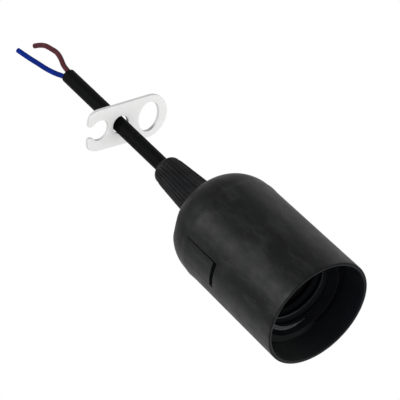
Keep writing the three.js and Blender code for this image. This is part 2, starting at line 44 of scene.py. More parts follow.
# Sizes of the cord
JACKET_RADIUS, JACKET_FOOT, JACKET_END = 2.85, 61.2, 154.0
JACKET_FOOT_FLAT, JACKET_BORE_SLACK, JACKET_BORE_DEPTH = 2.2, 0.22, 9.0
CUT_EDGE = ((0.0, 0.12), (0.04, 0.03), (0.12, 0.0))  # how far inwards and below the jacket's end
CORE_RADIUS, CORE_FOOT, CORE_STEP = 1.0, 49.3, 0.9
CORE_OFFSET, CORE_TURN = 1.15, 56.0  # where the pair of cores lies in the jacket
TERMINAL_RING = 7.5
CORE_WIRE_RADIUS, CORE_WIRE_SUNK = 0.5, 0.5
STRANDS, STRAND_RADIUS, STRAND_LENGTH, STRAND_RING, STRAND_SUNK = 6, 0.14, 1.2, 0.3, 0.02
BLUE_FREE_END = [
    (-1.1, -1.4, 2.5), (-1.7, -2.2, 5.5), (-2.4, -3.0, 10.0), (-2.9, -3.7, 15.5),
    (-3.4, -4.4, 21.0), (-3.8, -5.1, 27.2),
]
BROWN_FREE_END = [
    (0.8, 0.9, 2.5), (1.1, 1.2, 5.5), (1.5, 2.3, 9.2), (1.5, 3.1, 13.0),
    (0.9, 3.1, 17.0), (0.1, 2.8, 20.8), (-1.3, 2.2, 23.7), (-2.9, 1.6, 26.0),
]

# Sizes of the hanger plate. Along the plate, its hook is on the negative side and its eye on the other.
PLATE_HEIGHT, PLATE_SPIN, PLATE_PITCH, PLATE_TILT = 119.8, 93.1, -2.3, -9.6
PLATE_THICKNESS, PLATE_BEVEL = 1.5, 0.2
HOOK_TO_EYE, HOOK_TO_HOLE = 22.95, 9.4
HOOK_RADIUS, HOOK_INNER, HOOK_ARM_END, HOOK_MOUTH = 8.3, 4.0, 120.0, 140.0
HOOK_TIP_ALONG, HOOK_TIP_ACROSS, HOOK_TIP_RADIUS, HOOK_ARM_BULGE = 4.33, 3.25, 1.05, 0.4
EYE_OUTER, EYE_ALONG, EYE_ACROSS = 8.7, 4.85, 6.05
CORD_HOLE_RADIUS, CORD_HOLE_SHIFT = 3.55, 0.25

# Sizes of the shell
MOUTH_RADIUS, SHOULDER_RADIUS, DOME_RADIUS = 21.0, 20.77, 20.45
MOUTH_BORE, SKIRT_BORE, BORE_TAPER_TOP = 19.7, 19.15, 8.5
SHOULDER_FALL = (48.8, 52.0)  # between these heights the skirt's outside blends into the dome's
DOME_START, DOME_CORNER, DOME_WALL = 51.2, 14.4, 2.0
NIPPLE_RADIUS, NIPPLE_BORE, NIPPLE_THROAT, NIPPLE_TOP = 5.0, 4.0, 3.0, 77.6
TONGUE_TURNS = (90.0, 270.0)
TONGUE_FOOT, TONGUE_ROOT, FOOT_GAP = 34.0, 49.0, 1.7
SLIT_INNER, SLIT_OUTER = 13.25, 14.75  # turns from the tongue's middle
SLIT_TAPER, SLIT_FADE = 0.85, 54.0  # how much narrower a slit is at its root, and where that ends
CLOSED_SLIT, CLOSED_TAPER = 0.95, 0.2  # the same for the clockwise slit: all along, and more at its root
CLOSED_RISE = (33.1, 34.0)  # heights between which the clockwise slit closes in
SKIRT_RIBS = 6
SKIRT_RIB = ((17.25, -0.7, 39.0), (19.4, 0.7, 50.5))  # opposite corners
TONGUE_TOOTH = ((17.75, -3.0, 34.4), (19.4, 3.0, 35.7))
SWELL, SWELL_RISE, SWELL_FALL, SWELL_SIDES = 0.18, (46.0, 49.5), (58.5, 63.0), (38.0, 62.0)
DENT_DEPTH, DENT_HEIGHT, DENT_TURN = 1.0, 61.3, 2.5
DENT_SLOPE = 0.72  # the height gained per millimetre along the dome there
DENT_ALONG, DENT_ACROSS = 7.0, 8.0  # squares of the dent's widths

# Sizes of the threaded barrel
THREAD_PITCH, THREAD_CREST, THREAD_ROOT = 3.629, 12.35, 13.5
THREAD_START, THREAD_END, THREAD_FADE = 11.4, 31.0, 1.5
THREAD_LEAD = 1.66  # height of the crest above the thread's start at turn 0
RIDGE_START, RIDGE_HEIGHT, RIDGE_RADIUS = 156.0, 0.55, 15.35  # the ridge on the lead-in, from its tip
RIDGE_RISE, RIDGE_FALL = (0.0, 26.0), (150.0, 200.0)  # turns from the ridge's tip
BARREL_RADIUS, BARREL_TOP, REAR_FLANGE = 15.4, 38.4, 36.0
FLANGE_RADIUS, FLANGE_BORE, FLANGE_FRONT, FLANGE_BACK = 18.85, 16.05, 9.5, 13.1
LEDGE_BORE, LEDGE_RADIUS, LEDGE_HEIGHT = 13.95, 14.1, 11.3  # the flat face inside the lead-in cone
CONE_RADIUS, CONE_FRONT = 15.85, 9.68

# Sizes of the gland nut
NUT_FOOT, NUT_TOP, NUT_FOOT_RADIUS, NUT_TOP_RADIUS = 65.9, 90.0, 7.3, 5.4
NUT_CAP_RADIUS, NUT_ROUND, NUT_BORE, NUT_CORD_BORE = 5.5, 1.7, 5.3, 3.15
NUT_SEAT, NUT_SEAT_RADIUS = 80.8, 4.0
RIBS, RIB_DEPTH, RIB_RADIUS, RIB_FOOT, RIB_TOP = 28, 0.4, 0.55, 66.2, 88.5
RIB_FOOT_SUNK, RIB_TOP_SUNK = 0.35, 0.23  # how far a rib's middle lies inside nut_radius


def place(x, y, height):
    """The point at x, y and a height above the mouth, in the part's frame."""
    return Vector((x, y, height - JACKET_END)) * MM


def polar(reach, turn):
    """The x and y of a point at a distance from the axis and a turn about it."""
    angle = math.radians(turn)
    return reach * math.cos(angle), reach * math.sin(angle)


def turned(x, y, turn):
    """The x and y of a point after a turn about the axis."""
    c, s = polar(1.0, turn)
    return x * c - y * s, x * s + y * c


def smooth_step(value, start, end):
    """Rises smoothly from 0 at the start to 1 at the end."""
    share = min(max((value - start) / (end - start), 0.0), 1.0)
    return share * share * (3 - 2 * share)


def new_object(name, data):
    made = bpy.data.objects.new(name, data)
    bpy.context.scene.collection.objects.link(made)
    return made


# Camera

CAMERA_PLACE = (0.46434, -0.41332, -0.54421)  # metres
CAMERA_RIGHT = Vector((0.13773, 0.80112, -0.58244))
CAMERA_UP = Vector((0.78758, 0.26801, 0.55488))
CAMERA_LENS, CAMERA_SENSOR = 195.64, 36.0


def set_camera():
    data = bpy.data.cameras.new("camera")
    data.sensor_width = CAMERA_SENSOR
    data.lens = CAMERA_LENS
    data.clip_start = 0.01
    data.clip_end = 30.0
    axes = Matrix((CAMERA_RIGHT, CAMERA_UP, CAMERA_RIGHT.cross(CAMERA_UP))).transposed()
    camera = new_object("camera", data)
    camera.matrix_world = Matrix.Translation(CAMERA_PLACE) @ axes.to_4x4()
    bpy.context.scene.camera = camera


set_camera()
bpy.context.scene.view_settings.view_transform = "Standard"


# Node writing

class Flow:
    """A value in a node tree. Operators on it add the Math nodes that they stand for."""

    def __init__(self, tree, socket):
        self.tree = tree
        self.socket = socket

    def _math(self, operation, first, second):
        return add(self.tree, "ShaderNodeMath", {"operation": operation}, [first, second])

    def __add__(self, other):
        return self._math("ADD", self, other)

    def __radd__(self, other):
        return self._math("ADD", other, self)

    def __sub__(self, other):
        return self._math("SUBTRACT", self, other)

    def __rsub__(self, other):
        return self._math("SUBTRACT", other, self)

    def __mul__(self, other):
        return self._math("MULTIPLY", self, other)

    def __rmul__(self, other):
        return self._math("MULTIPLY", other, self)

    def __truediv__(self, other):
        return self._math("DIVIDE", self, other)

    def __gt__(self, other):
        return self._math("GREATER_THAN", self, other)

    def __lt__(self, other):
        return self._math("LESS_THAN", self, other)

    def low(self, other):
        return self._math("MINIMUM", self, other)

    def high(self, other):
        return self._math("MAXIMUM", self, other)

    def one(self, operation):
        """A Math operation on this value alone."""
        return add(self.tree, "ShaderNodeMath", {"operation": operation}, [self])

    def smooth(self, start, end, low=0.0, high=1.0):
        """A smooth step between two values, from low to high."""
        return add(self.tree, "ShaderNodeMapRange", {"interpolation_type": "SMOOTHSTEP"},
                   {"Value": self, "From Min": start, "From Max": end, "To Min": low, "To Max": high})

    def band(self, rise, fall):
        """1 between two smooth steps, a rise and a fall, each given by its start and end."""
        return self.smooth(*rise) * (1.0 - self.smooth(*fall))

    def swing(self, reach):
        """Turns a value from 0 to 1 into a swing about 0."""
        return (self - 0.5) * reach


def feed(tree, socket, value):
    """Links a value to a socket, or sets it there."""
    if isinstance(value, Flow):
        tree.links.new(value.socket, socket)
    else:
        socket.default_value = value


def add(tree, kind, settings=None, inputs=None, out=0):
    """Adds a node: its settings first, then the values or links of its sockets."""
    node = tree.nodes.new(kind)
    for name, value in (settings or {}).items():
        setattr(node, name, value)
    pairs = enumerate(inputs) if isinstance(inputs, list) else (inputs or {}).items()
    for key, value in pairs:
        feed(tree, node.inputs[key], value)
    return Flow(tree, node.outputs[out])


def parts(tree, vector):
    """The three coordinates of a vector."""
    split = tree.nodes.new("ShaderNodeSeparateXYZ")
    feed(tree, split.inputs[0], vector)
    return [Flow(tree, socket) for socket in split.outputs]


def turn_of(tree, x, y):
    """The turn about the axis, from 0 to 360 degrees."""
    turn = add(tree, "ShaderNodeMath", {"operation": "ARCTAN2"}, [y, x]) * (180 / math.pi)
    return turn + 360.0 * (turn < 0.0)


class Finish:
    """A material whose colour, roughness and relief come from patterns on object coordinates."""

    def __init__(self, name, **constants):
        self.material = bpy.data.materials.new(name)
        self.material.use_nodes = True
        self.tree = self.material.node_tree
        self.shader = self.tree.nodes["Principled BSDF"]
        for socket, value in constants.items():
            self.shader.inputs[socket.replace("_", " ")].default_value = value
        self.coordinates = add(self.tree, "ShaderNodeTexCoord", out="Object")

    def noise(self, size, detail=3.0, roughness=0.5, stretch=(1.0, 1.0, 1.0)):
        """Noise from 0 to 1, whose features are about that size across."""
        scaled = add(self.tree, "ShaderNodeMapping",
                     inputs={"Vector": self.coordinates, "Scale": stretch})
        return add(self.tree, "ShaderNodeTexNoise",
                   inputs={"Vector": scaled, "Scale": 1.0 / (size * MM),
                           "Detail": detail, "Roughness": roughness})

    def round_place(self):
        """Distance from the axis, turn about it, and height above the mouth."""
        x, y, z = parts(self.tree, self.coordinates)
        return (x * x + y * y).one("SQRT") / MM, turn_of(self.tree, x, y), z / MM + JACKET_END

    def distance_along(self, direction, middle):
        """Distance from a point, measured along a direction."""
        measured = add(self.tree, "ShaderNodeVectorMath", {"operation": "DOT_PRODUCT"},
                       [self.coordinates, tuple(direction)], out="Value")
        return (measured - direction.dot(middle)) / MM

    def mix(self, share, first, second):
        """Mixes two colours."""
        node = self.tree.nodes.new("ShaderNodeMix")
        node.data_type = "RGBA"
        feed(self.tree, node.inputs[0], share)
        for slot, colour in ((6, first), (7, second)):
            feed(self.tree, node.inputs[slot], (*colour, 1.0) if isinstance(colour, tuple) else colour)
        return Flow(self.tree, node.outputs[2])

    def colour(self, value):
        feed(self.tree, self.shader.inputs["Base Color"], value)

    def roughness(self, value):
        feed(self.tree, self.shader.inputs["Roughness"], value)

    def relief(self, height, depth=1.0):
        bump = add(self.tree, "ShaderNodeBump",
                   inputs={"Strength": 1.0, "Distance": depth * MM, "Height": height})
        feed(self.tree, self.shader.inputs["Normal"], bump)


# Finishes

MOULDED_GRAIN = 0.015  # depth of the spark-eroded grain
DUST_FILM, DUST_SPECK = 0.013, 0.026  # how much paler than the plastic
PAINTED_LIGHT_FALL = (260.0, 320.0)  # turns between which the painted light on one side of the mouth ends
BORE_HAZE = (0.0062, 0.0068, 0.0080)
# Painted light: the paler flange on one side of the mouth
FLANGE_PAINTED_LIGHT = (0.0160, 0.0166, 0.0170)
# Painted highlight: glints on the insert's thread start, first crest and lead-in edge
PAINTED_GLINT = (0.086, 0.088, 0.094)
SKIRT_HAZE = (0.0062, 0.0068, 0.0086)
# Painted light: the paler skirt inside on one side of the mouth
SKIRT_PAINTED_LIGHT = (0.0150, 0.0162, 0.0158)
DARKER_DOME = (0.0003, 0.0004, 0.0004)
WHITE_DARK, WHITE_PALE = (0.885, 0.885, 0.88), (0.915, 0.915, 0.91)
WHITE_SPECK = (0.62, 0.62, 0.60)
# Painted shade on the plate's cut walls
PLATE_WALL_SHADE = (0.33, 0.33, 0.33)

PLATE_MIDDLE = place(0, 0, PLATE_HEIGHT)
PLATE_POSE = (Matrix.Rotation(math.radians(PLATE_SPIN), 4, "Z")
              @ Matrix.Rotation(math.radians(PLATE_PITCH), 4, "Y")
              @ Matrix.Rotation(math.radians(PLATE_TILT), 4, "X"))


def scaled(tone, share):
    return tuple(v * share for v in tone)


def paler(tone, step):
    return tuple(v + step for v in tone)


def moulded_black(name, tone, rough, specular, wave_depth=0.0, dust=0.5, stain_and_painted_light=None):
    """Black moulded plastic: a fine spark-eroded grain, shallow waves, a patchy film of dust along the
    pull of the mould, dust specks, and its own stains and painted light."""
    f = Finish(name, Specular_IOR_Level=specular)
    clouds = f.noise(7.0, detail=4.0, roughness=0.6)
    film = f.noise(5.0, detail=4.0, roughness=0.65, stretch=(1.0, 1.0, 0.35))
    grain = f.noise(0.32, detail=2.0, roughness=0.6)
    specks = f.noise(0.9, detail=4.0, roughness=0.7).smooth(0.60, 0.74)
    body = f.mix(clouds.smooth(0.3, 0.7), scaled(tone, 0.6), scaled(tone, 1.4))
    body = f.mix(film.smooth(0.44, 0.70) * dust, body, paler(tone, DUST_FILM))
    body = f.mix(specks * dust, body, paler(tone, DUST_SPECK))
    # Its own stains and painted light, laid over the body
    if stain_and_painted_light:
        body = stain_and_painted_light(f, body)
    f.colour(body)
    f.roughness(rough + clouds.swing(0.34) + film.swing(0.24) + grain.swing(0.14))
    f.relief(grain * MOULDED_GRAIN + f.noise(6.0, detail=1.0) * wave_depth)
    return f.material


def insert_haze_and_painted_light(f, body):
    """Painted highlights stand for the glints on the thread's tapered start on the lead-in, its first
    crest and the lead-in's outer edge. The bore is hazy, and painted light makes one side of the flange
    paler."""
    radius, turn, height = f.round_place()
    body = f.mix(radius < THREAD_ROOT + 0.1, body, BORE_HAZE)
    # Painted light: one side of the flange is paler.
    side = turn.band((140.0, 170.0), PAINTED_LIGHT_FALL) * radius.smooth(CONE_RADIUS + 0.05, CONE_RADIUS + 0.45)
    body = f.mix(side, body, FLANGE_PAINTED_LIGHT)
    # Painted highlights, as glints: the thread's tapered start on the lead-in, its first crest and the
    # lead-in's outer edge.
    sweep = turn - RIDGE_START
    inner = LEDGE_BORE - 0.3 * sweep.smooth(0.0, 30.0) - 0.5 * sweep.smooth(30.0, 70.0)
    outer = LEDGE_RADIUS - 0.02 + 0.26 * sweep.smooth(0.0, 45.0)
    start = (radius - inner).smooth(-0.06, 0.06) * (outer - radius).smooth(-0.06, 0.06)
    start = start * (sweep > 0.0) * (1.0 - sweep.smooth(140.0, 190.0))
    start = start * (1.0 - height.smooth(THREAD_START + 0.5, THREAD_START + 1.0))
    crest = 1.0 - radius.smooth(THREAD_CREST + 0.05, THREAD_CREST + 0.27)
    crest = crest * (1.0 - height.smooth(15.2, 17.0)) * (0.30 + sweep.smooth(-10.0, 25.0) * 0.50)
    edge = radius.band((CONE_RADIUS, CONE_RADIUS + 0.15), (FLANGE_BORE, FLANGE_BORE + 0.15)) * 0.07
    patches = f.noise(1.6).smooth(0.2, 0.6, 0.7, 1.0)
    return f.mix(start.high(crest).high(edge) * patches, body, PAINTED_GLINT)


def shell_tones_and_painted_light(f, body):
    """The skirt's inside: matt and bluish, paler with painted light on one side of it. The dome is darker
    and plainer.
    """
    radius, turn, height = f.round_place()
    skirt_top, mid_wall = TONGUE_ROOT + 1.0, (MOUTH_BORE + MOUTH_RADIUS) / 2
    # The dome, inside and out, is darker and plainer than the skirt.
    body = f.mix(height.smooth(skirt_top, skirt_top + 7.0) * 0.8, body, DARKER_DOME)
    inside = (radius < mid_wall) * (height < skirt_top)
    # Painted light: one side of the skirt's inside is paler, in patches.
    side = turn.band((140.0, 215.0), PAINTED_LIGHT_FALL)
    matt = f.mix(side * f.noise(4.0).smooth(0.2, 0.6, 0.6, 1.0), SKIRT_HAZE, SKIRT_PAINTED_LIGHT)
    return f.mix(inside, body, matt)


def soft_pvc(name, tone, rough, specular):
    """Extruded soft sheath: drawn along its length, with a slight haze."""
    f = Finish(name, Specular_IOR_Level=specular)
    haze = f.noise(3.5)
    drawn = f.noise(0.5, detail=2.0, stretch=(1.0, 1.0, 0.12))
    f.colour(f.mix(haze.smooth(0.3, 0.75), scaled(tone, 0.8), scaled(tone, 1.2)))
    f.roughness(rough + haze.swing(0.14) + drawn.swing(0.08))
    f.relief(drawn, 0.02)
    return f.material


def white_plate_finish(name):
    """White moulded plate: nearly flat, with faint flow shading, a fine grain and cut walls greyed by
    painted shade.
    """
    f = Finish(name, Specular_IOR_Level=0.4)
    flow = f.noise(7.0)
    grain = f.noise(0.35, detail=2.0)
    specks = f.noise(0.8, roughness=0.7).smooth(0.70, 0.80)
    body = f.mix(flow.smooth(0.3, 0.7), WHITE_DARK, WHITE_PALE)
    body = f.mix(specks * 0.25, body, WHITE_SPECK)
    off_middle = f.distance_along(PLATE_POSE.to_3x3() @ Vector((0, 0, 1)), PLATE_MIDDLE).one("ABSOLUTE")
    face = PLATE_THICKNESS / 2
    # Painted shade: the cut walls, away from both faces, are greyer.
    f.colour(f.mix(1.0 - off_middle.smooth(face - 0.13, face - 0.005), body, PLATE_WALL_SHADE))
    f.roughness(0.42 + flow.swing(0.12) + grain.swing(0.08))
    f.relief(grain, 0.012)
    return f.material


def metal(name, tone, dull, rough, streak=0.4):
    """Stamped or turned metal: bright, with dull patches and fine streaks."""
    f = Finish(name, Metallic=1.0)
    patches = f.noise(1.8, detail=4.0, roughness=0.6)
    streaks = f.noise(streak, detail=2.0, stretch=(1.0, 0.15, 1.0))
    f.colour(f.mix(patches.smooth(0.35, 0.75), tone, dull))
    f.roughness(rough + patches.swing(0.22) + streaks.swing(0.12))
    f.relief(streaks, 0.015)
    return f.material


# Painted light makes one side of the skirt's inside paler.
SHELL = moulded_black("shell_plastic", (0.0006, 0.0008, 0.0009), 0.48, 0.105,
                      wave_depth=0.14, stain_and_painted_light=shell_tones_and_painted_light)
NUT = moulded_black("nut_plastic", (0.0008, 0.0010, 0.0014), 0.56, 0.085, dust=0.7)
# Its marks: painted highlights as glints, and painted light on one side of the flange.
INSERT = moulded_black("insert_plastic", (0.0020, 0.0022, 0.0028), 0.46, 0.02,
                       dust=0.06, stain_and_painted_light=insert_haze_and_painted_light)
BASE = moulded_black("base_plastic", (0.0060, 0.0058, 0.0056), 0.60, 0.20)
CORD = soft_pvc("cord_pvc", (0.0010, 0.0011, 0.0012), 0.60, 0.033)
BLUE = soft_pvc("blue_pvc", (0.001, 0.010, 0.112), 0.50, 0.02)
BROWN = soft_pvc("brown_pvc", (0.046, 0.013, 0.0165), 0.50, 0.02)
WHITE = white_plate_finish("plate_plastic")
COPPER = metal("copper", (0.86, 0.42, 0.24), (0.55, 0.24, 0.13), 0.34, streak=0.12)
BRASS = metal("brass", (0.80, 0.60, 0.30), (0.50, 0.36, 0.17), 0.34)
STEEL = metal("steel", (0.62, 0.62, 0.62), (0.42, 0.43, 0.45), 0.36)


# Mesh making

def finish_piece(name, mesh, material, body, stands_for=(), sharp=35.0):
    """Makes a piece of a finished mesh, shades it and joins it to its CAD body."""
    mesh.name = name
    mesh.materials.clear()
    mesh.materials.append(material)
    for polygon in mesh.polygons:
        polygon.material_index = 0
    mesh.shade_smooth()
    mesh.set_sharp_from_angle(angle=math.radians(sharp))
    piece = new_object(name, mesh)
    if stands_for:
        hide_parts(*stands_for)
    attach(piece, body)
    return piece


def weld(mesh, distance):
    """Merges corners that lie together and turns all faces outwards."""
    shape = bmesh.new()
    shape.from_mesh(mesh)
    bmesh.ops.remove_doubles(shape, verts=shape.verts, dist=distance)
    bmesh.ops.recalc_face_normals(shape, faces=shape.faces)
    shape.to_mesh(mesh)
    shape.free()
    return mesh


def mesh_from(vertices, faces):
    mesh = bpy.data.meshes.new("shape")
    mesh.from_pydata(vertices, [], faces)
    mesh.validate()
    return weld(mesh, 1e-7)


def ring_faces(rings, sides, closed):
    """Faces between rings of corners in turn. They go on to the first ring, or end in two caps."""
    faces = []
    for i in range(rings if closed else rings - 1):
        k = (i + 1) % rings
        for j in range(sides):
            n = (j + 1) % sides
            faces.append((i * sides + j, i * sides + n, k * sides + n, k * sides + j))
    if not closed:
        faces.append(tuple(range(sides)))
        faces.append(tuple(range((rings - 1) * sides, rings * sides)))
    return faces


def turned_mesh(profile, sides):
    """A closed profile of radii and heights, turned about the axis."""
    vertices = [place(*polar(r, 360 * j / sides), h) for r, h in profile for j in range(sides)]
    return mesh_from(vertices, ring_faces(len(profile), sides, closed=True))


def arc(centre, radius, start, end, steps):
    """Points along an arc, from one turn to another."""
    points = []
    for i in range(steps + 1):
        x, y = polar(radius, start + (end - start) * i / steps)
        points.append((centre[0] + x, centre[1] + y))
    return points


def circle(centre, radius, corners):
    """The corners round a whole circle, each once."""
    return arc(centre, radius, 0, 360, corners)[:-1]


def line_between(start, end, steps):
    """Points along a straight line, with both of its ends."""
    return [tuple(a + (b - a) * i / steps for a, b in zip(start, end)) for i in range(steps + 1)]


def add_box(corners, turn, vertices, faces):
    """Adds a box, given by two opposite corners and turned about the axis, to lists."""
    first = len(vertices)
    low, high = corners
    for x in (low[0], high[0]):
        for y in (low[1], high[1]):
            for z in (low[2], high[2]):
                vertices.append(place(*turned(x, y, turn), z))
    for quad in ((0, 1, 3, 2), (4, 6, 7, 5), (0, 4, 5, 1), (2, 3, 7, 6), (0, 2, 6, 4), (1, 5, 7, 3)):
        faces.append(tuple(first + k for k in quad))


def plain_mesh(carrier):
    """The mesh that an object's curve or modifier comes to."""
    bpy.context.view_layer.update()
    evaluated = carrier.evaluated_get(bpy.context.evaluated_depsgraph_get())
    return bpy.data.meshes.new_from_object(evaluated)


# Geometry trees

def new_tree(name, sizes, counts=()):
    """A geometry tree that takes a shape, named sizes and counts, and a material. Gives the tree and
    its inputs by name."""
    tree = bpy.data.node_groups.new(name, "GeometryNodeTree")
    tree.interface.new_socket("Geometry", in_out="INPUT", socket_type="NodeSocketGeometry")
    for size in sizes:
        tree.interface.new_socket(size, in_out="INPUT", socket_type="NodeSocketFloat")
    for count in counts:
        tree.interface.new_socket(count, in_out="INPUT", socket_type="NodeSocketInt")
    tree.interface.new_socket("Material", in_out="INPUT", socket_type="NodeSocketMaterial")
    tree.interface.new_socket("Geometry", in_out="OUTPUT", socket_type="NodeSocketGeometry")
    given = tree.nodes.new("NodeGroupInput")
    return tree, {socket.name: Flow(tree, socket) for socket in given.outputs}


def end_tree(tree, shape, material):
    """Makes a tree's copies real, gives them their material and hands them out."""
    real = add(tree, "GeometryNodeRealizeInstances", inputs={"Geometry": shape})
    dressed = add(tree, "GeometryNodeSetMaterial", inputs={"Geometry": real, "Material": material})
    feed(tree, tree.nodes.new("NodeGroupOutput").inputs["Geometry"], dressed)
    return tree


def join(tree, *shapes):
    node = tree.nodes.new("GeometryNodeJoinGeometry")
    for shape in shapes:
        feed(tree, node.inputs[0], shape)
    return Flow(tree, node.outputs[0])


def grown(mesh, tree, values):
    """Runs a geometry tree on a mesh with the given named inputs, and returns the plain mesh."""
    carrier = new_object("carrier", mesh)
    modifier = carrier.modifiers.new("grow", "NODES")
    modifier.node_group = tree
    for item in tree.interface.items_tree:
        if item.item_type == "SOCKET" and item.in_out == "INPUT" and item.name in values:
            modifier[item.identifier] = values[item.name]
    plain = plain_mesh(carrier)
    carrier.modifiers.remove(modifier)
    bpy.data.objects.remove(carrier)
    return plain


# Cord

def make_jacket():
    """The jacket, with an oblong bore at its cut end that the two cores leave by. Gives it with the
    points that it follows."""
    sides = 48
    foot, end = JACKET_FOOT, JACKET_END
    outside = [(JACKET_FOOT_FLAT, foot)]
    outside += line_between((JACKET_RADIUS, foot), (JACKET_RADIUS, end - 0.5), 40)
    outside += [(JACKET_RADIUS - inwards, end - below) for inwards, below in CUT_EDGE]
    bore_radius = CORE_RADIUS + JACKET_BORE_SLACK
    bore = [(bore_radius + 0.06, end), (bore_radius, end - 0.08), (bore_radius, end - JACKET_BORE_DEPTH)]
    rings = [(*ring, 0.0) for ring in outside] + [(*ring, CORE_OFFSET) for ring in bore]
    vertices = []
    for radius, height, spread in rings:
        for j in range(sides):
            x, y = polar(radius, 360 * j / sides)
            if abs(x) > 1e-9:
                x += math.copysign(spread, x)
            vertices.append(place(*turned(x, y, CORE_TURN), height))
    faces = ring_faces(len(rings), sides, closed=False)
    piece = finish_piece("jacket", mesh_from(vertices, faces), CORD, "holder", ["cord_jacket"])
    return piece, [place(*point) for point in line_between((0, 0, foot), (0, 0, end), 20)]


def core_route(side, free_end):
    """A core's route: up from its terminal, through the jacket, then its free end."""
    low = Vector((0.0, side * TERMINAL_RING, CORE_FOOT))
    high = Vector((*polar(side * CORE_OFFSET, CORE_TURN), JACKET_FOOT))
    rise = 6
    route = []
    for i in range(rise + 1):
        share = i / rise
        point = low.lerp(high, (1 - math.cos(math.pi * share)) / 2)
        point.z = low.z + (high.z - low.z) * share
        route.append(point)
    route += line_between(high, (high.x, high.y, JACKET_END), 8)[1:]
    route += [(x, y, JACKET_END + z) for x, y, z in free_end]
    return [place(*point) for point in route]


def between(a, b, a_at, b_at, at):
    """The point of a straight line that passes a and b at two given times."""
    return a * ((b_at - at) / (b_at - a_at)) + b * ((at - a_at) / (b_at - a_at))


def curve_through(route, step):
    """A smooth line through the route's points, with its own points a step apart."""
    line = []
    ends = [route[0] * 2 - route[1], *route, route[-1] * 2 - route[-2]]
    for p0, p1, p2, p3 in zip(ends, ends[1:], ends[2:], ends[3:]):
        times = [0.0]
        for a, b in ((p0, p1), (p1, p2), (p2, p3)):
            times.append(times[-1] + max((b - a).length ** 0.5, 1e-6))
        t0, t1, t2, t3 = times
        count = max(2, round((p2 - p1).length / step))
        for i in range(count):
            t = t1 + (t2 - t1) * i / count
            a1 = between(p0, p1, t0, t1, t)
            a2 = between(p1, p2, t1, t2, t)
            a3 = between(p2, p3, t2, t3, t)
            b1 = between(a1, a2, t0, t2, t)
            b2 = between(a2, a3, t1, t3, t)
            line.append(between(b1, b2, t1, t2, t))
    line.append(route[-1])
    return line


def frames_along(line):
    """Each point with its direction and two side directions, turned as little as possible."""
    frames = []
    side = Vector((1.0, 0.0, 0.0))
    for i, point in enumerate(line):
        ahead = line[min(i + 1, len(line) - 1)] - line[max(i - 1, 0)]
        ahead.normalize()
        side = (side - ahead * side.dot(ahead)).normalized()
        frames.append((point, ahead, side, ahead.cross(side)))
    return frames


def tube_mesh(frames, rings, sides):
    """A tube along frames. rings gives, for each ring, the frame's number, the shift ahead and the
    radius."""
    vertices = []
    for number, shift, radius in rings:
        point, ahead, side, other = frames[number]
        for j in range(sides):
            x, y = polar(radius, 360 * j / sides)
            vertices.append(point + ahead * shift + side * x + other * y)
    return mesh_from(vertices, ring_faces(len(rings), sides, closed=False))


def strand_tree():
    """Copper strands in a core's cut end: one in the middle and a ring of them round it."""
    tree, value = new_tree("strands", ["Strand radius", "Strand length", "Ring radius"], ["Strands"])
    strand = add(tree, "GeometryNodeMeshCylinder", inputs={
        "Vertices": 12, "Radius": value["Strand radius"], "Depth": value["Strand length"]})
    ring = add(tree, "GeometryNodeMeshCircle", inputs={
        "Vertices": value["Strands"], "Radius": value["Ring radius"]})
    middle = add(tree, "GeometryNodePoints", inputs={"Count": 1})
    spots = join(tree, middle, add(tree, "GeometryNodeMeshToPoints", inputs={"Mesh": ring}))
    copies = add(tree, "GeometryNodeInstanceOnPoints", inputs={"Points": spots, "Instance": strand})
    return end_tree(tree, copies, value["Material"])


STRAND_TREE = strand_tree()


def make_core(name, side, free_end, material, node):
    """A core: its insulation, cut square, with the copper strands showing in the cut."""
    frames = frames_along(curve_through(core_route(side, free_end), CORE_STEP * MM))
    last = len(frames) - 1
    radius, wire = CORE_RADIUS * MM, CORE_WIRE_RADIUS * MM
    rings = [(0, 0.0, wire), *[(i, 0.0, radius) for i in range(last + 1)]]
    rings += [(last, 0.0, wire), (last, -CORE_WIRE_SUNK * MM, wire)]
    piece = finish_piece(name, tube_mesh(frames, rings, 20), material, "holder", [node])
    bunch = grown(bpy.data.meshes.new("bunch"), STRAND_TREE, {
        "Strands": STRANDS, "Strand radius": STRAND_RADIUS * MM, "Strand length": STRAND_LENGTH * MM,
        "Ring radius": STRAND_RING * MM, "Material": COPPER})
    point, ahead, across, other = frames[last]
    axes = Matrix((across, other, ahead)).transposed().to_4x4()
    sunk = (STRAND_LENGTH / 2 + STRAND_SUNK) * MM
    bunch.transform(Matrix.Translation(point - ahead * sunk) @ axes)
    ends = finish_piece(name + "_wire", bunch, COPPER, "holder")
    return piece, ends


jacket, jacket_path = make_jacket()
blue, blue_wire = make_core("blue_lead", -1, BLUE_FREE_END, BLUE, "blue_core")
brown, brown_wire = make_core("brown_lead", 1, BROWN_FREE_END, BROWN, "brown_core")


# Hanger plate

def bulging_line(start, end, bulge):
    """Points between two others, on a curve that swells to the right of the line."""
    across = (end[1] - start[1], start[0] - end[0])
    length = math.hypot(*across)
    points = []
    for share in (0.15, 0.3, 0.5, 0.7, 0.85):
        swell = 4 * share * (1 - share) * bulge / length
        points.append(tuple(a + (b - a) * share + c * swell for a, b, c in zip(start, end, across)))
    return points


